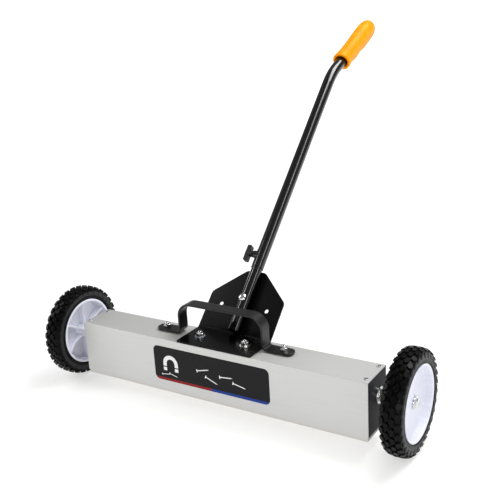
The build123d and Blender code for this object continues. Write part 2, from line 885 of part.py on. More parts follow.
# The magnet carriage: ceramic blocks in a steel channel, just above the tray.
magnet_bottom = tray_bottom + tray_wall + magnet_gap
channel_under = magnet_bottom + magnet_size[2]
channel_half = magnet_size[1] / 2 + 0.2 + channel_side
with BuildPart() as magnet_channel:
    with BuildSketch(Plane.XY.offset(channel_under)):
        with Locations((0, body_y)):
            Rectangle(channel_length, 2 * channel_half)
    extrude(amount=channel_web)
    with BuildSketch(Plane.XY.offset(channel_under)):
        for edge in (-1, 1):
            with Locations((0, body_y + edge * (channel_half - channel_side / 2))):
                Rectangle(channel_length, channel_side)
    extrude(amount=-channel_skirt)
    with Locations(*rod_planes):
        Hole(rod_radius)
magnet_channel.part.label = "magnet_channel"
export_step(magnet_channel.part, "parts/magnet_channel.step")

with BuildPart() as magnets:
    with Locations((0, body_y, magnet_bottom + magnet_size[2] / 2)):
        with GridLocations(magnet_pitch, 1, magnet_count, 1):
            Box(*magnet_size)
magnets.part.label = "magnets"
export_step(magnets.part, "parts/magnets.step")

# Two threaded rods join the carriage to the handle's feet; nuts lock them at both ends.
foot_top = body_top + foot_lift + strap_thickness
rod_top = foot_top + nut_height + bolt_stick_out
with BuildPart() as lift_rods:
    with BuildSketch(Plane.XY.offset(channel_under)):
        for x in (-rod_x, rod_x):
            with Locations((x, body_y + strap_y)):
                Circle(rod_radius)
    extrude(amount=rod_top - channel_under)
    fillet(lift_rods.faces().group_by(Axis.Z)[-1].edges(), 1.8)
lift_rods.part.label = "lift_rods"
export_step(lift_rods.part, "parts/lift_rods.step")

lift_nuts = make_group(nut, [plane.offset(foot_top - body_top) for plane in rod_planes])
lift_nuts.part.label = "lift_nuts"
export_step(lift_nuts.part, "parts/lift_nuts.step")

channel_top = channel_under + channel_web
carriage_nuts = make_group(nut, [plane.offset(channel_top - body_top) for plane in rod_planes])
carriage_nuts.part.label = "carriage_nuts"
export_step(carriage_nuts.part, "parts/carriage_nuts.step")
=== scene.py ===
import json
from math import cos, hypot, pi, radians, sin

import bmesh
import bpy
from mathutils import Matrix, Vector


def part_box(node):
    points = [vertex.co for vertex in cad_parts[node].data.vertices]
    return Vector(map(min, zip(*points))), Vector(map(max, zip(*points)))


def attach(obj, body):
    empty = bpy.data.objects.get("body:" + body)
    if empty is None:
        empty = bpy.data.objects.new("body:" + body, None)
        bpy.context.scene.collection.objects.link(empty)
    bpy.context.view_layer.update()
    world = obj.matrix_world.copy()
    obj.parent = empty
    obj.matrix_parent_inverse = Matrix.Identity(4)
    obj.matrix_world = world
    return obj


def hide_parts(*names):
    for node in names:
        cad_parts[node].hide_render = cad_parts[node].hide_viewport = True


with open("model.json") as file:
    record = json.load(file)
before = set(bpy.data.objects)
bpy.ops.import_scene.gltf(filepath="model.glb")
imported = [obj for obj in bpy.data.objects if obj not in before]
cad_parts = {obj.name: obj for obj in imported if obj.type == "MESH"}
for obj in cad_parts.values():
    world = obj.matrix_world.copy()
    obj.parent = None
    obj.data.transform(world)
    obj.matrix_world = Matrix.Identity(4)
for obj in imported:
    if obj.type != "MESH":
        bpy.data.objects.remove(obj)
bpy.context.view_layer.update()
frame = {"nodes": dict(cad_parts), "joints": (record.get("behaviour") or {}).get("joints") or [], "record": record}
nodes = frame["nodes"]
mm = 0.001

# ---------------------------------------------------------------- studio
# A white floor lit from within, under one large softbox behind and to the right, with a weak
# panel in front and a narrow strip on each side that draws a bright line along the tubes. The
# camera stands to the front right, a little above the grip.

scene = bpy.context.scene
scene.view_settings.view_transform = "Standard"
scene.view_settings.look = "Medium High Contrast"

body_low, body_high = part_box("housing")
body_middle = (body_low + body_high) / 2

camera_turn = radians(32.6)
camera_rise = radians(17.7)
camera_roll = radians(-3.3)
back = Vector((
    sin(camera_turn) * cos(camera_rise),
    -cos(camera_turn) * cos(camera_rise),
    sin(camera_rise),
))
level_right = Vector((cos(camera_turn), sin(camera_turn), 0))
level_up = back.cross(level_right)
camera_right = level_right * cos(camera_roll) + level_up * sin(camera_roll)
camera_up = level_up * cos(camera_roll) - level_right * sin(camera_roll)
camera_place = Vector((0.7839, body_middle.y - 1.1129, body_low.z + 0.7086))

lens = bpy.data.cameras.new("studio_camera")
lens.lens = 58.2
lens.sensor_width = 36.0
lens.clip_start = 0.05
camera = bpy.data.objects.new("studio_camera", lens)
scene.collection.objects.link(camera)
camera.matrix_world = Matrix((
    (camera_right.x, camera_up.x, back.x, camera_place.x),
    (camera_right.y, camera_up.y, back.y, camera_place.y),
    (camera_right.z, camera_up.z, back.z, camera_place.z),
    (0, 0, 0, 1),
))
scene.camera = camera


def add_panel(name, place, target, size, power):
    """A rectangular softbox that faces a point."""
    panel = bpy.data.lights.new(name, "AREA")
    panel.shape = "RECTANGLE"
    panel.size, panel.size_y = size
    panel.energy = power
    lamp = bpy.data.objects.new(name, panel)
    scene.collection.objects.link(lamp)
    lamp.location = place
    lamp.rotation_mode = "QUATERNION"
    lamp.rotation_quaternion = (Vector(target) - Vector(place)).to_track_quat("-Z", "Y")


add_panel("overhead_softbox", (0.7, 0.6, 2.3), (0.0, -0.2, 0.1), (1.5, 1.2), 40.0)
add_panel("front_panel", (1.3, -2.4, 0.9), (0.2, -0.3, 0.1), (0.6, 0.6), 10.0)
add_panel("right_strip", (2.0, -0.3, 1.9), (0.0, -0.1, 0.35), (0.22, 2.4), 11.0)
add_panel("left_strip", (-1.9, -0.9, 1.3), (0.0, -0.1, 0.4), (0.16, 2.0), 14.0)


def linear(hex_colour):
    """An sRGB hex colour as the linear colour that a shader takes."""
    channels = [int(hex_colour[i:i + 2], 16) / 255 for i in (1, 3, 5)]
    return (*[c / 12.92 if c <= 0.04045 else ((c + 0.055) / 1.055) ** 2.4 for c in channels], 1.0)


def new_material(name, colour, sockets):
    """A material and its shader, with the constant values of its surface."""
    material = bpy.data.materials.new(name)
    material.use_nodes = True
    shader = material.node_tree.nodes["Principled BSDF"]
    shader.inputs["Base Color"].default_value = linear(colour)
    for socket, value in sockets.items():
        shader.inputs[socket].default_value = value
    return material, shader


def add_node(material, kind, sockets, feeds=None, **properties):
    """Adds a node. Each socket is given a value, or the output that feeds it."""
    node = material.node_tree.nodes.new("ShaderNode" + kind)
    for name, value in properties.items():
        setattr(node, name, value)
    for name, value in sockets.items():
        if isinstance(value, bpy.types.NodeSocket):
            material.node_tree.links.new(value, node.inputs[name])
        else:
            node.inputs[name].default_value = value
    if feeds:
        material.node_tree.links.new(node.outputs[0], feeds)
    return node


def set_tones(ramp, *tones):
    """Gives a colour ramp its tones, each as its place and its hex colour."""
    stops = ramp.color_ramp.elements
    for number, (place, colour) in enumerate(tones):
        stop = stops[number] if number < 2 else stops.new(place)
        stop.position = place
        stop.color = linear(colour)


# The studio's air: white low down, where the floor sweeps up into the wall, and dimmer overhead.
air = bpy.data.worlds.new("studio_air")
air.use_nodes = True
where = add_node(air, "TexCoord", {})
place = add_node(air, "SeparateXYZ", {"Vector": where.outputs["Generated"]})
add_node(
    air, "MapRange", {
        "Value": place.outputs["Z"], "From Min": 0.06, "From Max": 0.20, "To Min": 1.1, "To Max": 0.26,
    },
    feeds=air.node_tree.nodes["Background"].inputs["Strength"],
)
air.node_tree.nodes["Background"].inputs["Color"].default_value = linear("#FFFFFE")
scene.world = air

# Opal acrylic lit from below: white, matt, with no more than a trace of a reflection.
floor_board, shader = new_material("opal_floor_sheet", "#C4C4C4", {
    "Emission Color": linear("#FFFFFE"), "Specular IOR Level": 0.3,
})
where = add_node(floor_board, "TexCoord", {})
way_out = add_node(floor_board, "VectorMath", {0: where.outputs["Object"]}, operation="LENGTH")
add_node(
    floor_board, "MapRange", {
        "Value": way_out.outputs["Value"], "From Min": 0.7, "From Max": 2.4, "To Min": 0.46, "To Max": 0.92,
    },
    feeds=shader.inputs["Emission Strength"],
)
mottle = add_node(floor_board, "TexNoise", {"Scale": 90.0, "Detail": 3.0})
add_node(
    floor_board, "MapRange", {"Value": mottle.outputs[0], "To Min": 0.20, "To Max": 0.32},
    feeds=shader.inputs["Roughness"],
)

bpy.ops.object.select_all(action="DESELECT")
bpy.ops.mesh.primitive_plane_add(size=60.0, location=(0, 0, -0.0003))
floor = bpy.context.object
floor.name = "studio_floor"
floor.data.materials.append(floor_board)
bpy.ops.object.transform_apply(location=True, rotation=True, scale=True)

# ---------------------------------------------------------------- housing and tray
# The housing is a drawn aluminium sleeve, clear anodised, with the fine lengthwise lines of
# its finish. The tray is a pressed pan of non-magnetic stainless sheet, bonded inside it.


def finish(material, *names):
    """Gives pieces that are carried over from the frame their finish."""
    for name in names:
        for place in nodes[name].material_slots:
            place.material = material


# Anodised aluminium: satin silver grey. The lines are about 1 mm wide, coarse enough to show.
aluminium, shader = new_material("anodised_aluminium", "#CECECD", {"Roughness": 0.5, "Metallic": 0.55})
where = add_node(aluminium, "TexCoord", {})
along_body = add_node(
    aluminium, "Mapping", {"Vector": where.outputs["Object"], "Scale": (12.0, 900.0, 900.0)},
)
lines = add_node(aluminium, "TexNoise", {"Vector": along_body.outputs[0], "Scale": 1.0, "Detail": 4.0})
clouds = add_node(aluminium, "TexNoise", {"Vector": where.outputs["Object"], "Scale": 9.0, "Detail": 2.0})
tone = add_node(aluminium, "ValToRGB", {"Fac": lines.outputs[0]}, feeds=shader.inputs["Base Color"])
set_tones(tone, (0.25, "#CBCBCA"), (0.75, "#D2D2D1"))
add_node(
    aluminium, "MapRange", {"Value": clouds.outputs[0], "To Min": 0.46, "To Max": 0.54},
    feeds=shader.inputs["Roughness"],
)
add_node(
    aluminium, "Bump", {"Height": lines.outputs[0], "Strength": 0.05, "Distance": 0.0001},
    feeds=shader.inputs["Normal"],
)
finish(aluminium, "housing")

# Stainless steel sheet: duller and a little warmer, with the cloudy patches of rolled stock.
pan_sheet, shader = new_material("stainless_steel_sheet", "#CBC9C4", {"Roughness": 0.48, "Metallic": 0.4})
patches = add_node(pan_sheet, "TexNoise", {"Scale": 35.0, "Detail": 5.0})
tone = add_node(pan_sheet, "ValToRGB", {"Fac": patches.outputs[0]}, feeds=shader.inputs["Base Color"])
set_tones(tone, (0.3, "#C6C4BF"), (0.7, "#D2D0CB"))
add_node(
    pan_sheet, "MapRange", {"Value": patches.outputs[0], "To Min": 0.40, "To Max": 0.56},
    feeds=shader.inputs["Roughness"],
)
finish(pan_sheet, "bottom_tray")

# ---------------------------------------------------------------- end caps
# Folded steel pans set into both ends of the housing, powder coated black, each held by two
# small pan head screws through the housing's top.

# Black powder coat: dark grey satin with a fine orange peel, about 1.5 mm from bump to bump.
powder_coat, shader = new_material("black_powder_coat", "#161618", {
    "Roughness": 0.46, "Specular IOR Level": 0.3,
})
where = add_node(powder_coat, "TexCoord", {})
peel = add_node(powder_coat, "TexNoise", {"Vector": where.outputs["Object"], "Scale": 650.0, "Detail": 2.0})
clouds = add_node(powder_coat, "TexNoise", {"Vector": where.outputs["Object"], "Scale": 24.0, "Detail": 3.0})
add_node(
    powder_coat, "MapRange", {"Value": clouds.outputs[0], "To Min": 0.40, "To Max": 0.52},
    feeds=shader.inputs["Roughness"],
)
add_node(
    powder_coat, "Bump", {"Height": peel.outputs[0], "Strength": 0.18, "Distance": 0.0003},
    feeds=shader.inputs["Normal"],
)
finish(powder_coat, "end_cap_left", "end_cap_right")

# Bright zinc plate: nearly colourless, with faint blue and straw patches and small scuffs.
zinc, shader = new_material("bright_zinc_plate", "#D3D5D8", {"Roughness": 0.22, "Metallic": 1.0})
where = add_node(zinc, "TexCoord", {})
bloom = add_node(zinc, "TexNoise", {"Vector": where.outputs["Object"], "Scale": 110.0, "Detail": 4.0})
tone = add_node(zinc, "ValToRGB", {"Fac": bloom.outputs[0]}, feeds=shader.inputs["Base Color"])
set_tones(tone, (0.3, "#C4C9D2"), (0.7, "#E0DED6"))
add_node(
    zinc, "MapRange", {"Value": bloom.outputs[0], "To Min": 0.09, "To Max": 0.22},
    feeds=shader.inputs["Roughness"],
)

cap_screw_head = 3.8 * mm
cap_screw_depth = 2.0 * mm
screw_low, screw_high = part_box("cap_screws")
bpy.ops.object.select_all(action="DESELECT")
bpy.ops.mesh.primitive_cylinder_add(vertices=24, radius=cap_screw_head, depth=cap_screw_depth)
screw = bpy.context.object
bpy.ops.object.mode_set(mode="EDIT")


def choose(kind, test):
    """In edit mode, selects only the verts, edges or faces that pass a test."""
    bpy.ops.mesh.select_mode(type={"verts": "VERT", "edges": "EDGE", "faces": "FACE"}[kind])
    bpy.ops.mesh.select_all(action="DESELECT")
    mesh = bmesh.from_edit_mesh(bpy.context.object.data)
    for part in getattr(mesh, kind):
        part.select_set(test(part))
    bmesh.update_edit_mesh(bpy.context.object.data)


choose("faces", lambda face: face.normal.z > 0.9)
bpy.ops.mesh.inset(thickness=1.9 * mm)
bpy.ops.mesh.extrude_region_move(TRANSFORM_OT_translate={"value": (0, 0, -1.4 * mm)})
choose("edges", lambda edge: all(vert.co.z > 0.9 * mm for vert in edge.verts))
bpy.ops.mesh.bevel(offset=0.6 * mm, segments=3)
bpy.ops.object.mode_set(mode="OBJECT")
screws = []
for x in (screw_low.x + cap_screw_head, screw_high.x - cap_screw_head):
    for y in (screw_low.y + cap_screw_head, screw_high.y - cap_screw_head):
        twin = bpy.data.objects.new("cap_screw", screw.data.copy())
        scene.collection.objects.link(twin)
        twin.data.transform(Matrix.Translation((x, y, body_high.z + cap_screw_depth / 2)))
        screws.append(twin)
bpy.data.objects.remove(screw)


def join(name, pieces):
    """Joins finished meshes into one piece."""
    bpy.ops.object.select_all(action="DESELECT")
    for piece in pieces:
        piece.select_set(True)
    bpy.context.view_layer.objects.active = pieces[0]
    bpy.ops.object.join()
    pieces[0].name = name
    return pieces[0]


def dress(piece, material, body, slot, *replaced):
    """Finishes a new piece: its material, what it rides on and what it stands for."""
    piece.data.materials.clear()
    piece.data.materials.append(material)
    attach(piece, body)
    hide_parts(*replaced)


def smooth(piece, angle):
    """Shades a piece smooth, but for edges sharper than an angle."""
    bpy.ops.object.select_all(action="DESELECT")
    piece.select_set(True)
    bpy.context.view_layer.objects.active = piece
    bpy.ops.object.shade_smooth_by_angle(angle=radians(angle))


cap_screws = join("end_cap_screws", screws)
smooth(cap_screws, 40)
dress(cap_screws, zinc, "chassis", "zinc", "cap_screws")

# ---------------------------------------------------------------- label
# A printed vinyl label on the front wall: charcoal ground with a red and blue foot, and plain
# white pictures of a horseshoe magnet and the nails that it lifts.

label_low, label_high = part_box("label")
stripe_top = label_low.z + 5.5 * mm
stripe_change = -4.0 * mm

# Printed vinyl: matt charcoal ink with a fine speckle, and a two-colour band along its foot.
printed_vinyl, shader = new_material("printed_vinyl", "#222224", {
    "Roughness": 0.5, "Specular IOR Level": 0.2,
})
where = add_node(printed_vinyl, "TexCoord", {})
place = add_node(printed_vinyl, "SeparateXYZ", {"Vector": where.outputs["Object"]})
on_the_right = add_node(
    printed_vinyl, "Math", {0: place.outputs["X"], 1: stripe_change}, operation="GREATER_THAN",
)
at_the_foot = add_node(printed_vinyl, "Math", {0: place.outputs["Z"], 1: stripe_top}, operation="LESS_THAN")
speckle = add_node(
    printed_vinyl, "TexNoise", {"Vector": where.outputs["Object"], "Scale": 900.0, "Detail": 1.0},
)
ground = add_node(printed_vinyl, "ValToRGB", {"Fac": speckle.outputs[0]})
set_tones(ground, (0.0, "#1F1F21"), (1.0, "#28282A"))
band = add_node(printed_vinyl, "ValToRGB", {"Fac": on_the_right.outputs[0]})
band.color_ramp.interpolation = "CONSTANT"
set_tones(band, (0.0, "#8E2B2A"), (0.5, "#2B4590"))
ink = add_node(
    printed_vinyl, "Mix", {0: at_the_foot.outputs[0], 6: ground.outputs[0], 7: band.outputs[0]},
    data_type="RGBA",
)
printed_vinyl.node_tree.links.new(ink.outputs[2], shader.inputs["Base Color"])
add_node(
    printed_vinyl, "MapRange", {"Value": speckle.outputs[0], "To Min": 0.46, "To Max": 0.56},
    feeds=shader.inputs["Roughness"],
)
finish(printed_vinyl, "label")

# White print: an opaque matt ink film with slightly uneven cover.
white_ink, shader = new_material("white_ink", "#E9E9E9", {"Roughness": 0.5})
cover = add_node(white_ink, "TexNoise", {"Scale": 700.0, "Detail": 2.0})
tone = add_node(white_ink, "ValToRGB", {"Fac": cover.outputs[0]}, feeds=shader.inputs["Base Color"])
set_tones(tone, (0.0, "#DADADA"), (1.0, "#F4F4F4"))

print_y = label_low.y - 0.05 * mm
magnet_x = label_low.x + 38 * mm
magnet_z = label_high.z - 33 * mm


def flat_print(name, corners):
    """A flat printed shape from its corners, (x, z) in mm from the magnet's centre."""
    bpy.ops.object.select_all(action="DESELECT")
    bpy.ops.mesh.primitive_circle_add(vertices=len(corners), fill_type="NGON")
    shape = bpy.context.object
    shape.name = name
    for vert, (x, z) in zip(shape.data.vertices, corners):
        vert.co = (magnet_x + x * mm, print_y, magnet_z + z * mm)
    bpy.ops.object.mode_set(mode="EDIT")
    bpy.ops.mesh.select_all(action="SELECT")
    bpy.ops.mesh.normals_make_consistent(inside=False)
    bpy.ops.mesh.extrude_region_move(TRANSFORM_OT_translate={"value": (0, 0.1 * mm, 0)})
    bpy.ops.mesh.select_all(action="SELECT")
    bpy.ops.mesh.normals_make_consistent(inside=False)
    bpy.ops.object.mode_set(mode="OBJECT")
    return shape


arch = [(17 * cos(pi * k / 24), 17 * sin(pi * k / 24)) for k in range(25)]
arch_inside = [(9 * cos(pi * k / 24), 9 * sin(pi * k / 24)) for k in range(24, -1, -1)]
horseshoe = flat_print("magnet_print", arch + [(-17, -6), (-9, -6)] + arch_inside + [(9, -6), (17, -6)])
tips = [flat_print("magnet_print", [(x, -8), (x + 8, -8), (x + 8, -15), (x, -15)]) for x in (-17, 9)]
nails = []
# One nail lying level, head to the left, then each nail's place, tilt in degrees and size.
nail = [
    (-9, 2.2), (-7.6, 2.2), (-7.6, 0.7), (8, 0.7), (11, 0), (8, -0.7), (-7.6, -0.7), (-7.6, -2.2), (-9, -2.2),
]
nail_places = [
    (-13, -23, 8, 1.0), (4, -22, -14, 1.0), (72, 2, 14, 1.45), (90, -14, -22, 1.45), (122, -2, 6, 1.45),
    (150, -12, -12, 1.45),
]
for x, z, tilt, size in nail_places:
    along = Vector((cos(radians(tilt)), sin(radians(tilt)))) * size
    nails.append(flat_print("nail_print", [
        (x + u * along.x - v * along.y, z + u * along.y + v * along.x) for u, v in nail
    ]))
label_print = join("label_print", [horseshoe, *tips, *nails])
dress(label_print, white_ink, "chassis", "label_print")

# ---------------------------------------------------------------- wheel rims
# Injection moulded white polypropylene wheels: a dished outer web round a plain hub, and a
# deep barrel stiffened by six ribs with hollowed edges on the inner side.

tyre_low, tyre_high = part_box("tyre_left")
wheel_x = -(tyre_low.x + tyre_high.x) / 2
axle_y = (tyre_low.y + tyre_high.y) / 2
axle_z = (tyre_low.z + tyre_high.z) / 2
wheel_centre = Vector((wheel_x, axle_y, axle_z))

# Sections are (outwards from the wheel's middle, radius), in mm.
rim_section = [
    (-19.6, 8), (8, 8), (8, 13), (4.5, 14.5), (3.5, 56), (5.5, 60.2), (16.5, 61.4), (18.5, 63.2),
    (18.5, 66), (16, 66), (16, 63), (-16, 63), (-16, 66), (-18.5, 66), (-18.5, 61), (0.4, 59.8),
    (0.6, 56), (1, 15), (-19.6, 13),
]
rib_section = [
    (-16, 11), (-11.8, 20), (-9.7, 28), (-9, 36), (-9.6, 44), (-11.8, 53), (-15.5, 62),
    (2.2, 61.6), (2.2, 56), (2.6, 15), (2.6, 11),
]
rib_thickness = 6.0 * mm
rib_count = 6


def on_section(name, section, fill):
    """A closed outline laid on a wheel's section, standing straight up from its centre."""
    bpy.ops.object.select_all(action="DESELECT")
    bpy.ops.mesh.primitive_circle_add(vertices=len(section), fill_type=fill)
    piece = bpy.context.object
    piece.name = name
    for vert, (out, radius) in zip(piece.data.vertices, section):
        vert.co = wheel_centre + Vector((out, 0, radius)) * mm
    bpy.ops.object.mode_set(mode="EDIT")
    bpy.ops.mesh.select_all(action="SELECT")
    return piece


rim = on_section("wheel_rim", rim_section, "NOTHING")
bpy.ops.mesh.bevel(offset=0.9 * mm, segments=3, affect="VERTICES")
bpy.ops.mesh.spin(steps=120, angle=2 * pi, center=wheel_centre, axis=(1, 0, 0))
bpy.ops.mesh.select_all(action="SELECT")
bpy.ops.mesh.remove_doubles(threshold=0.01 * mm)
bpy.ops.mesh.normals_make_consistent(inside=False)
bpy.ops.object.mode_set(mode="OBJECT")

rib = on_section("wheel_rib", rib_section, "NGON")
bpy.ops.mesh.extrude_region_move(TRANSFORM_OT_translate={"value": (0, rib_thickness, 0)})
bpy.ops.mesh.select_all(action="SELECT")
bpy.ops.transform.translate(value=(0, -rib_thickness / 2, 0))
bpy.ops.mesh.normals_make_consistent(inside=False)
choose("edges", lambda edge: abs(edge.verts[0].co.y - edge.verts[1].co.y) < 0.1 * mm)
bpy.ops.mesh.bevel(offset=1.3 * mm, segments=3)
bpy.ops.object.mode_set(mode="OBJECT")
ribs = []
for number in range(rib_count):
    twin = bpy.data.objects.new("wheel_rib", rib.data.copy())
    scene.collection.objects.link(twin)
    turn = Matrix.Rotation(2 * pi * number / rib_count, 4, "X")
    twin.data.transform(Matrix.Translation(wheel_centre) @ turn @ Matrix.Translation(-wheel_centre))
    ribs.append(twin)
bpy.data.objects.remove(rib)
rim = join("wheel_rim", [rim, *ribs])
smooth(rim, 35)

# White polypropylene: bluish white, softly glossy, slightly translucent, with radial flow lines.
polypropylene, shader = new_material("white_polypropylene", "#DCDDE8", {
    "Roughness": 0.3, "IOR": 1.49, "Subsurface Weight": 0.04, "Subsurface Scale": 0.002,
})
where = add_node(polypropylene, "TexCoord", {})
from_axle = add_node(
    polypropylene, "Mapping", {"Vector": where.outputs["Object"], "Location": (0, -axle_y, -axle_z)},
)
place = add_node(polypropylene, "SeparateXYZ", {"Vector": from_axle.outputs[0]})
angle = add_node(polypropylene, "Math", {0: place.outputs["Y"], 1: place.outputs["Z"]}, operation="ARCTAN2")
spokes = add_node(polypropylene, "CombineXYZ", {"X": angle.outputs[0]})
flow = add_node(polypropylene, "TexNoise", {"Vector": spokes.outputs[0], "Scale": 9.0, "Detail": 3.0})
tone = add_node(polypropylene, "ValToRGB", {"Fac": flow.outputs[0]}, feeds=shader.inputs["Base Color"])
set_tones(tone, (0.35, "#D9DAE6"), (0.6, "#E2E3ED"))
add_node(
    polypropylene, "Bump", {"Height": flow.outputs[0], "Strength": 0.06, "Distance": 0.0004},
    feeds=shader.inputs["Normal"],
)


def other_side(piece, name):
    """The same piece for the left wheel: mirrored across the sweeper's middle."""
    twin = bpy.data.objects.new(name, piece.data.copy())
    scene.collection.objects.link(twin)
    twin.data.transform(Matrix.Scale(-1, 4, (1, 0, 0)))
    twin.data.flip_normals()
    return twin


rim.name = "rim_right"
left_rim = other_side(rim, "rim_left")
dress(rim, polypropylene, "wheel_right", "white_plastic", "wheel_rim_right")
dress(left_rim, polypropylene, "wheel_left", "white_plastic", "wheel_rim_left")

# ---------------------------------------------------------------- tyres
# Solid rubber tyres stretched over the rims: smooth sidewalls with a moulded ring, and rows of
# hexagonal lugs across the tread, the outer rows carried round the shoulders.

carcass_section = [
    (-15.8, 63.1), (15.8, 63.1), (15.8, 66.6), (17.2, 66.9), (17.8, 68.6), (18.7, 69.4), (18.7, 71.2),
    (18.3, 72.2), (18.7, 74.5), (18.4, 78.0), (17.4, 82.0), (15.6, 85.0), (11.0, 87.2), (5.0, 87.9),
    (-5.0, 87.9), (-11.0, 87.2), (-15.6, 85.0), (-17.4, 82.0), (-18.4, 78.0), (-18.7, 74.5),
    (-18.3, 72.2), (-18.7, 71.2), (-18.7, 69.4), (-17.8, 68.6), (-17.2, 66.9), (-15.8, 66.6),
]
carcass = on_section("tyre", carcass_section, "NOTHING")
bpy.ops.mesh.bevel(offset=0.5 * mm, segments=2, affect="VERTICES")
bpy.ops.mesh.spin(steps=128, angle=2 * pi, center=wheel_centre, axis=(1, 0, 0))
bpy.ops.mesh.select_all(action="SELECT")
bpy.ops.mesh.remove_doubles(threshold=0.01 * mm)
bpy.ops.mesh.normals_make_consistent(inside=False)
bpy.ops.object.mode_set(mode="OBJECT")
smooth(carcass, 40)

lug_height = 3.6 * mm
lug_length = 14.0 * mm
lug_width = 8.8 * mm
lug_count = 32
lug_root = 0.4 * mm
flats_to_corners = 0.866
tread_radius = 88.0 * mm

# One lug, flat: x runs across the tread, y along it and z out from it.
bpy.ops.object.select_all(action="DESELECT")
bpy.ops.mesh.primitive_cylinder_add(vertices=6, radius=0.5, depth=1.0, location=(0, 0, 0))
lug = bpy.context.object
bpy.ops.object.mode_set(mode="EDIT")
bpy.ops.mesh.select_all(action="SELECT")
bpy.ops.transform.resize(value=(lug_width / flats_to_corners, lug_length, lug_height))
bpy.ops.transform.translate(value=(0, 0, lug_height / 2 - lug_root))
choose("faces", lambda face: face.normal.z < -0.9)
bpy.ops.mesh.delete(type="FACE")
choose("faces", lambda face: face.normal.z > 0.9)
bpy.ops.transform.resize(value=(0.86, 0.90, 1.0))
choose("edges", lambda edge: edge.verts[0].co.z > 0 or edge.verts[1].co.z > 0)
bpy.ops.mesh.bevel(offset=0.6 * mm, segments=2)
bpy.ops.object.mode_set(mode="OBJECT")

# The tread line: distance round the shoulder from the tyre's middle, then place and lean.
tread_line = [
    (0, 88.0), (5, 87.9), (10, 87.4), (14, 86.2), (16.4, 83.8), (17.6, 80.6), (18.2, 77.0), (18.4, 73.0),
]


def on_tread(across, out):
    """A point across the tread and out from it, as (outwards, radius) in metres."""
    way = abs(across) / mm
    for (x0, r0), (x1, r1) in zip(tread_line, tread_line[1:]):
        step = hypot(x1 - x0, r1 - r0)
        if way <= step or (x1, r1) == tread_line[-1]:
            share = way / step
            break
        way -= step
    lean = Vector((r0 - r1, x1 - x0)).normalized()
    side = 1 if across > 0 else -1
    x = x0 + (x1 - x0) * share + lean.x * out / mm
    radius = r0 + (r1 - r0) * share + lean.y * out / mm
    return side * x * mm, radius * mm


row_places = (-21.8, -12.8, -4.4, 4.4, 12.8, 21.8)
lugs = []
for row, across in enumerate(row_places):
    at_shoulder = abs(across) > 20
    for number in range(lug_count):
        twin = bpy.data.objects.new("lug", lug.data.copy())
        scene.collection.objects.link(twin)
        angle = 2 * pi * (number + 0.5 * (row % 2)) / lug_count
        for vert in twin.data.vertices:
            out = vert.co.z * (0.42 if at_shoulder else 1.0)
            reach = vert.co.x * (1.05 if at_shoulder else 1.0)
            x, radius = on_tread(across * mm + reach, out)
            turn = angle + vert.co.y / tread_radius
            vert.co = wheel_centre + Vector((x, radius * sin(turn), radius * cos(turn)))
        lugs.append(twin)
bpy.data.objects.remove(lug)
tyre = join("tyre_right_tread", [carcass, *lugs])
smooth(tyre, 22)

# Natural rubber with carbon black: near black and slightly wet looking, with a painted sheen,
# a grey band round each wall between 74 and 80 mm from the axle, and painted shade next to the rim.
tyre_rubber, shader = new_material("tyre_rubber", "#0C0C0D", {"Roughness": 0.38, "Specular IOR Level": 0.15})
where = add_node(tyre_rubber, "TexCoord", {})
from_axle = add_node(
    tyre_rubber, "Mapping", {"Vector": where.outputs["Object"], "Location": (0, -axle_y, -axle_z)},
)
around = add_node(tyre_rubber, "VectorMath", {0: from_axle.outputs[0], 1: (0, 1, 1)}, operation="MULTIPLY")
radius = add_node(tyre_rubber, "VectorMath", {0: around.outputs[0]}, operation="LENGTH")
way_out = add_node(
    tyre_rubber, "MapRange", {"Value": radius.outputs["Value"], "From Min": 0.063, "From Max": 0.091},
)
dust = add_node(tyre_rubber, "TexNoise", {"Vector": where.outputs["Object"], "Scale": 70.0, "Detail": 5.0})
grit = add_node(tyre_rubber, "TexNoise", {"Vector": where.outputs["Object"], "Scale": 900.0, "Detail": 2.0})
# The colour is painted light that varies with radius. The grey band is a painted sheen on each wall, and the
# darkest tone, next to the rim, is painted shade in the groove there.
tone = add_node(tyre_rubber, "ValToRGB", {"Fac": way_out.outputs[0]}, feeds=shader.inputs["Base Color"])
set_tones(tone, (0.32, "#070708"), (0.42, "#3A3A3C"), (0.60, "#363638"), (0.70, "#0C0C0D"))
add_node(
    tyre_rubber, "MapRange", {"Value": dust.outputs[0], "To Min": 0.22, "To Max": 0.42},
    feeds=shader.inputs["Roughness"],
)
add_node(
    tyre_rubber, "Bump", {"Height": grit.outputs[0], "Strength": 0.15, "Distance": 0.0002},
    feeds=shader.inputs["Normal"],
)
left_tyre = other_side(tyre, "tyre_left_tread")
dress(tyre, tyre_rubber, "wheel_right", "tyre_rubber", "tyre_right")
dress(left_tyre, tyre_rubber, "wheel_left", "tyre_rubber", "tyre_left")

# ---------------------------------------------------------------- axles and fasteners
# Turned and rolled steel hardware, bright zinc plated: axle bolts with a wide washer against
# each end cap, domed push nuts outside the hubs, and the bracket's bolts, washers and nuts.

finish(
    zinc, "axle_left", "axle_right", "axle_spacers", "axle_washers", "axle_nuts", "hub_washers",
    "push_nuts", "bracket_bolts", "bracket_washers", "bracket_nuts", "tube_bolts", "tube_washers",
    "tube_nuts", "lift_nuts", "carriage_nuts", "lift_rods", "clamp_screw",
)

# Grey nylon: a dull, faintly mottled engineering plastic for bushes.
nylon, shader = new_material("grey_nylon", "#8B8D90", {"Roughness": 0.5, "IOR": 1.53})
mottle = add_node(nylon, "TexNoise", {"Scale": 260.0, "Detail": 3.0})
tone = add_node(nylon, "ValToRGB", {"Fac": mottle.outputs[0]}, feeds=shader.inputs["Base Color"])
set_tones(tone, (0.0, "#808285"), (1.0, "#97999C"))
finish(nylon, "guide_bushes", "hub_bush_left", "hub_bush_right")

# ---------------------------------------------------------------- bracket
# One laser cut steel plate, folded once and powder coated gloss black. Its foot is bolted to
# the housing and its house-shaped back leans with the pole.

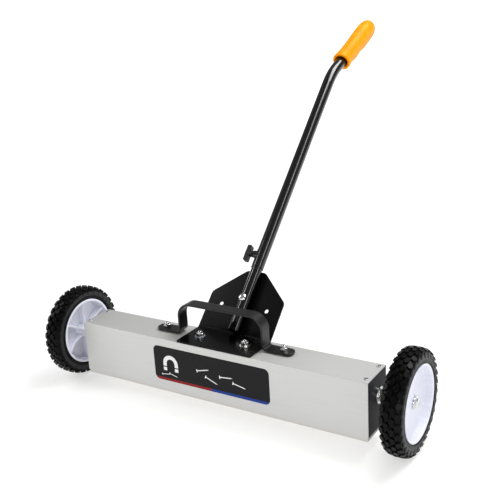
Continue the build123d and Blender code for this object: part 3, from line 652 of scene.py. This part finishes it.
foot_low, foot_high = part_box("bracket_foot")
plate_thickness = 3.0 * mm
pole_up = Vector(next(joint for joint in frame["joints"] if joint["name"] == "pole_extend")["axis"])
pole_out = Vector((0, -pole_up.z, pole_up.y))
bracket_x = (foot_low.x + foot_high.x) / 2
fold_setback = 34 * mm
fold = Vector((bracket_x, body_middle.y + fold_setback, body_high.z + plate_thickness))
pole_x = sum(corner.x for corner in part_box("lower_tube")) / 2 - bracket_x

# The plate's front face, in mm: across from its middle, and up from the fold.
plate_outline = [(-80, 0), (80, 0), (80, 77), (19.5, 131), (-19.5, 131), (-80, 77)]
bolt_hole = 4.25 * mm
drill_depth = 12 * mm

bpy.ops.object.select_all(action="DESELECT")
bpy.ops.mesh.primitive_circle_add(vertices=len(plate_outline), fill_type="NGON")
bracket = bpy.context.object
for vert, (x, s) in zip(bracket.data.vertices, plate_outline):
    vert.co = fold + Vector((x * mm, 0, 0)) + pole_up * s * mm
bpy.ops.object.mode_set(mode="EDIT")
choose("verts", lambda vert: (vert.co - fold).dot(pole_up) > 1 * mm)
bpy.ops.mesh.bevel(offset=5 * mm, segments=5, affect="VERTICES")
choose("edges", lambda edge: all(abs(vert.co.z - fold.z) < 0.1 * mm for vert in edge.verts))
bpy.ops.mesh.extrude_region_move(TRANSFORM_OT_translate={"value": (0, foot_low.y - fold.y, 0)})
choose("verts", lambda vert: vert.co.y < foot_low.y + 0.1 * mm)
bpy.ops.mesh.bevel(offset=3 * mm, segments=4, affect="VERTICES")
choose("edges", lambda edge: all(abs(vert.co.y - fold.y) < 0.1 * mm for vert in edge.verts))
bpy.ops.mesh.bevel(offset=2.4 * mm, segments=6)
bpy.ops.mesh.select_all(action="SELECT")
bpy.ops.mesh.normals_make_consistent(inside=False)
bpy.ops.object.mode_set(mode="OBJECT")


def apply_modifier(piece, kind, **settings):
    """Adds one modifier to a piece and applies it."""
    bpy.ops.object.select_all(action="DESELECT")
    piece.select_set(True)
    bpy.context.view_layer.objects.active = piece
    modifier = piece.modifiers.new(kind.lower(), kind)
    for name, value in settings.items():
        setattr(modifier, name, value)
    bpy.ops.object.modifier_apply(modifier=modifier.name)


# The plate's outline is its front face: thickness goes to the side away from the pole.
facing = sum((face.normal.dot(pole_out) * face.area for face in bracket.data.polygons), 0.0)
apply_modifier(bracket, "SOLIDIFY", thickness=plate_thickness, offset=-1.0 if facing > 0 else 1.0)


def drill(piece, centre, axis, radius, depth):
    """Cuts a round hole through a piece."""
    bpy.ops.object.select_all(action="DESELECT")
    bpy.ops.mesh.primitive_cylinder_add(vertices=32, radius=radius, depth=depth)
    tool = bpy.context.object
    turn = Vector(axis).to_track_quat("Z", "Y").to_matrix().to_4x4()
    tool.data.transform(Matrix.Translation(centre) @ turn)
    apply_modifier(piece, "BOOLEAN", object=tool, operation="DIFFERENCE", solver="EXACT")
    bpy.data.objects.remove(tool)


# Two holes carry the tube, and the two beside them let it be bolted leaning to either side.
plate_holes = [(pole_x, 15.3 * mm), (pole_x, 66.0 * mm), (-50.0 * mm, 55.0 * mm), (50.0 * mm, 55.0 * mm)]
for x, s in plate_holes:
    drill(bracket, fold + Vector((x, 0, 0)) + pole_up * s, pole_out, bolt_hole, drill_depth)
for x in (-49.0 * mm, 49.0 * mm):
    drill(bracket, (bracket_x + x, body_middle.y - 4 * mm, body_high.z), (0, 0, 1), bolt_hole, drill_depth)
apply_modifier(bracket, "BEVEL", width=0.5 * mm, segments=2, limit_method="ANGLE", angle_limit=radians(50))
smooth(bracket, 50)
apply_modifier(bracket, "WEIGHTED_NORMAL", keep_sharp=True)
bracket.name = "folded_bracket"

# Gloss black powder coat: deep black with a wet shine and a shallow orange peel 3 mm across.
gloss_coat, shader = new_material("gloss_black_powder_coat", "#050506", {
    "Roughness": 0.26, "Specular IOR Level": 0.2, "Coat Weight": 0.15, "Coat Roughness": 0.12,
})
where = add_node(gloss_coat, "TexCoord", {})
peel = add_node(gloss_coat, "TexNoise", {"Vector": where.outputs["Object"], "Scale": 330.0, "Detail": 2.0})
clouds = add_node(gloss_coat, "TexNoise", {"Vector": where.outputs["Object"], "Scale": 30.0, "Detail": 3.0})
add_node(
    gloss_coat, "MapRange", {"Value": clouds.outputs[0], "To Min": 0.20, "To Max": 0.32},
    feeds=shader.inputs["Roughness"],
)
add_node(
    gloss_coat, "Bump", {"Height": peel.outputs[0], "Strength": 0.08, "Distance": 0.0003},
    feeds=shader.inputs["Normal"],
)
dress(bracket, gloss_coat, "chassis", "gloss_black_steel", "bracket_foot", "bracket_plate")

# ---------------------------------------------------------------- pole
# Two welded steel tubes, one sliding in the other, stove enamelled gloss black. The lower one
# is bolted through the bracket and the upper one carries the clamp boss and the grip.

# Stove enamel: smoother than the powder coat, with slight drawing ripples along the tube.
enamel, shader = new_material("black_stove_enamel", "#09090A", {
    "Roughness": 0.25, "Coat Weight": 0.6, "Coat Roughness": 0.06,
})
where = add_node(enamel, "TexCoord", {})
ripple = add_node(enamel, "TexNoise", {"Vector": where.outputs["Object"], "Scale": 120.0, "Detail": 2.0})
add_node(
    enamel, "MapRange", {"Value": ripple.outputs[0], "To Min": 0.14, "To Max": 0.26},
    feeds=shader.inputs["Roughness"],
)
add_node(
    enamel, "Bump", {"Height": ripple.outputs[0], "Strength": 0.05, "Distance": 0.0003},
    feeds=shader.inputs["Normal"],
)
finish(enamel, "lower_tube", "upper_tube", "clamp_boss")

# ---------------------------------------------------------------- clamp knob
# A tee knob moulded in black glass-filled nylon on the clamp screw: a tapered hub and a solid
# wing, thickest at its middle.

knob_low, knob_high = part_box("clamp_knob")
knob_middle = (knob_low + knob_high) / 2
knob_length = 33 * mm
knob_width = 13 * mm
knob_thickness = 10 * mm
hub_depth = 10 * mm
hub_start = Vector((knob_high.x, knob_middle.y, knob_middle.z))
bar_middle = Vector((knob_low.x + knob_thickness / 2, knob_middle.y, knob_middle.z))
knob_frame = Matrix((
    (-1, 0, 0),
    (0, pole_out.y, pole_up.y),
    (0, pole_out.z, pole_up.z),
)).to_4x4()

bpy.ops.object.select_all(action="DESELECT")
bpy.ops.mesh.primitive_cube_add(size=1.0)
wing = bpy.context.object
bpy.ops.object.mode_set(mode="EDIT")
bpy.ops.mesh.select_all(action="SELECT")
bpy.ops.mesh.subdivide(number_cuts=5)
bpy.ops.transform.resize(value=(knob_thickness, knob_width, knob_length))
for vert in bmesh.from_edit_mesh(wing.data).verts:
    reach = abs(vert.co.z) / (knob_length / 2)
    vert.co.y *= 0.88 + 0.12 * reach
    vert.co.x *= 1.0 - 0.18 * reach
bmesh.update_edit_mesh(wing.data)
bpy.ops.object.mode_set(mode="OBJECT")
apply_modifier(wing, "BEVEL", width=1.6 * mm, segments=3, limit_method="ANGLE", angle_limit=radians(50))
wing.data.transform(Matrix.Translation(bar_middle) @ knob_frame)

bpy.ops.object.select_all(action="DESELECT")
bpy.ops.mesh.primitive_cone_add(vertices=40, radius1=6.8 * mm, radius2=4.6 * mm, depth=hub_depth)
knob_hub = bpy.context.object
bpy.ops.object.mode_set(mode="EDIT")
choose("edges", lambda edge: all(vert.co.z < 0.1 * mm - hub_depth / 2 for vert in edge.verts))
bpy.ops.mesh.bevel(offset=0.8 * mm, segments=3)
bpy.ops.object.mode_set(mode="OBJECT")
turn_out = Matrix(((0, 0, -1), (0, 1, 0), (1, 0, 0))).to_4x4()
knob_hub.data.transform(Matrix.Translation(hub_start - Vector((hub_depth / 2, 0, 0))) @ turn_out)
knob = join("tee_knob", [wing, knob_hub])
smooth(knob, 40)

# Glass-filled nylon: black, dull, with the fine grain of a spark-eroded mould.
moulded_black, shader = new_material("glass_filled_nylon", "#141415", {"Roughness": 0.42, "IOR": 1.53})
where = add_node(moulded_black, "TexCoord", {})
grain = add_node(
    moulded_black, "TexNoise", {"Vector": where.outputs["Object"], "Scale": 1100.0, "Detail": 2.0},
)
add_node(
    moulded_black, "MapRange", {"Value": grain.outputs[0], "To Min": 0.34, "To Max": 0.50},
    feeds=shader.inputs["Roughness"],
)
add_node(
    moulded_black, "Bump", {"Height": grain.outputs[0], "Strength": 0.2, "Distance": 0.0002},
    feeds=shader.inputs["Normal"],
)
dress(knob, moulded_black, "clamp_knob", "black_plastic", "clamp_knob")

# ---------------------------------------------------------------- lift handle and magnets
# A flat steel bar bent into a bridge, powder coated satin black, whose two rods lift a steel
# channel of ferrite magnets off the tray, so that what they hold drops.

# Satin black powder coat: a broad grey sheen over a fine texture.
satin_coat, shader = new_material("satin_black_powder_coat", "#1A1A1B", {"Roughness": 0.34})
where = add_node(satin_coat, "TexCoord", {})
peel = add_node(satin_coat, "TexNoise", {"Vector": where.outputs["Object"], "Scale": 800.0, "Detail": 2.0})
clouds = add_node(satin_coat, "TexNoise", {"Vector": where.outputs["Object"], "Scale": 40.0, "Detail": 3.0})
add_node(
    satin_coat, "MapRange", {"Value": clouds.outputs[0], "To Min": 0.30, "To Max": 0.40},
    feeds=shader.inputs["Roughness"],
)
add_node(
    satin_coat, "Bump", {"Height": peel.outputs[0], "Strength": 0.15, "Distance": 0.0003},
    feeds=shader.inputs["Normal"],
)
finish(satin_coat, "lift_handle")

# Galvanised steel: dull grey with cloudy spangles about 8 mm across.
galvanised, shader = new_material("galvanised_steel", "#A9ADB0", {"Roughness": 0.42, "Metallic": 0.9})
spangle = add_node(galvanised, "TexVoronoi", {"Scale": 120.0})
tone = add_node(
    galvanised, "ValToRGB", {"Fac": spangle.outputs["Distance"]}, feeds=shader.inputs["Base Color"],
)
set_tones(tone, (0.0, "#9DA1A5"), (1.0, "#B9BDC0"))
finish(galvanised, "magnet_channel")

# Sintered ferrite: charcoal, dull and slightly porous.
ferrite, shader = new_material("sintered_ferrite", "#2E2D2F", {"Roughness": 0.72})
pores = add_node(ferrite, "TexNoise", {"Scale": 420.0, "Detail": 4.0})
tone = add_node(ferrite, "ValToRGB", {"Fac": pores.outputs[0]}, feeds=shader.inputs["Base Color"])
set_tones(tone, (0.0, "#262527"), (1.0, "#3A393B"))
add_node(
    ferrite, "Bump", {"Height": pores.outputs[0], "Strength": 0.3, "Distance": 0.0004},
    feeds=shader.inputs["Normal"],
)
finish(ferrite, "magnets")

# ---------------------------------------------------------------- grip
# A soft moulded rubber grip pushed over the end of the pole: flared at its mouth, full in the
# palm, with finger swells along its underside and a hanging hole near its tip.

hang_hole = next(mount for mount in frame["record"]["mounts"] if mount["name"] == "hang_hole")
grip_lean = radians(67.0)
grip_way = Vector((0, sin(grip_lean), cos(grip_lean)))
grip_top = Vector((0, -grip_way.z, grip_way.y))
hang_hole_s = 154 * mm
grip_mouth = Vector(hang_hole["pos_m"]) - grip_way * hang_hole_s

# Stations along the grip, in mm: distance from the mouth, height above its line on the upper
# side, depth below it on the finger side, and half of its width.
grip_stations = [
    (0, 20.6, 20.8, 19.6), (3, 20.9, 21.0, 19.7), (9, 20.5, 20.7, 19.0), (17, 19.8, 20.1, 18.3),
    (26, 19.3, 19.8, 17.9), (34, 19.1, 20.4, 17.8), (43, 19.0, 21.6, 17.8), (50, 19.0, 22.7, 17.9),
    (56, 19.1, 23.0, 18.0), (63, 19.2, 21.8, 18.1), (69, 19.4, 20.0, 18.2), (75, 19.6, 19.4, 18.3),
    (82, 20.0, 20.5, 18.5), (90, 20.6, 22.1, 18.8), (98, 21.1, 22.9, 19.0), (106, 21.5, 22.9, 19.2),
    (114, 21.9, 22.2, 19.3), (123, 22.1, 21.5, 19.3), (132, 22.2, 21.7, 19.2), (141, 21.9, 21.6, 18.9),
    (149, 21.1, 21.0, 18.3), (156, 19.7, 20.1, 17.1), (162, 17.6, 18.6, 15.4), (166.5, 14.4, 16.3, 12.9),
    (169.5, 10.2, 12.9, 9.4), (171.6, 5.0, 7.6, 5.0),
]
# The recess in the mouth comes first: its floor, its wall and the rounded lip.
recess = [(7, 12.3), (6.8, 13.0), (3, 13.2), (0.6, 13.6)]
rings = [(s, r, r, r) for s, r in recess] + [(-0.6, 17.0, 17.2, 16.4)] + grip_stations
ring_points = 40
ring_radius = 12.3 * mm

bpy.ops.object.select_all(action="DESELECT")
bpy.ops.mesh.primitive_circle_add(vertices=ring_points, radius=ring_radius, fill_type="NOTHING")
grip = bpy.context.object
bpy.ops.object.mode_set(mode="EDIT")
bpy.ops.mesh.select_all(action="SELECT")
for _ in rings:
    bpy.ops.mesh.extrude_region_move(TRANSFORM_OT_translate={"value": (0, 0, 1.0)})
bpy.ops.mesh.edge_face_add()
bpy.ops.object.mode_set(mode="OBJECT")

# Rings were stacked one metre apart, so a vert's height tells its ring. Between the flare at the
# mouth and the tip, the section is slightly square and its sides are slightly hollow.
flare_end = 24
for vert in grip.data.vertices:
    s, top, under, half = rings[min(round(vert.co.z), len(rings) - 1)]
    across = vert.co.x / ring_radius
    height = vert.co.y / ring_radius
    fullness = 0.92 if 20 < s < 150 else 1.0
    across = abs(across) ** fullness * (1 if across > 0 else -1)
    rise = height * (top if height > 0 else under)
    hollow = 0.05 * max(0.0, 1 - ((height + 0.35) / 0.45) ** 2) if flare_end < s < 148 else 0.0
    lean_of_mouth = -0.13 * rise * max(0.0, 1 - max(s, 0) / flare_end)
    vert.co = (
        grip_mouth
        + grip_way * (s + lean_of_mouth) * mm
        + grip_top * rise * mm
        + Vector((across * half * (1 - hollow) * mm, 0, 0))
    )
bpy.ops.object.select_all(action="DESELECT")
grip.select_set(True)
bpy.context.view_layer.objects.active = grip
bpy.ops.object.mode_set(mode="EDIT")
bpy.ops.mesh.select_all(action="SELECT")
bpy.ops.mesh.normals_make_consistent(inside=False)
bpy.ops.object.mode_set(mode="OBJECT")
apply_modifier(grip, "SUBSURF", levels=1, render_levels=1)
drill(grip, hang_hole["pos_m"], (1, 0, 0), hang_hole["dims"]["r_mm"] * mm, 60 * mm)
smooth(grip, 45)
grip.name = "moulded_grip"

# Thermoplastic rubber: warm orange yellow, soft satin, with a fine moulded grain.
soft_rubber, shader = new_material("thermoplastic_rubber", "#F59B10", {
    "Roughness": 0.42, "Specular IOR Level": 0.2, "Subsurface Weight": 0.05, "Subsurface Scale": 0.003,
})
where = add_node(soft_rubber, "TexCoord", {})
clouds = add_node(soft_rubber, "TexNoise", {"Vector": where.outputs["Object"], "Scale": 60.0, "Detail": 3.0})
grain = add_node(soft_rubber, "TexNoise", {"Vector": where.outputs["Object"], "Scale": 1300.0, "Detail": 2.0})
tone = add_node(soft_rubber, "ValToRGB", {"Fac": clouds.outputs[0]}, feeds=shader.inputs["Base Color"])
set_tones(tone, (0.3, "#E98C02"), (0.7, "#F09A04"))
add_node(
    soft_rubber, "Bump", {"Height": grain.outputs[0], "Strength": 0.25, "Distance": 0.0003},
    feeds=shader.inputs["Normal"],
)
dress(grip, soft_rubber, "pole_slide", "grip_rubber", "grip")
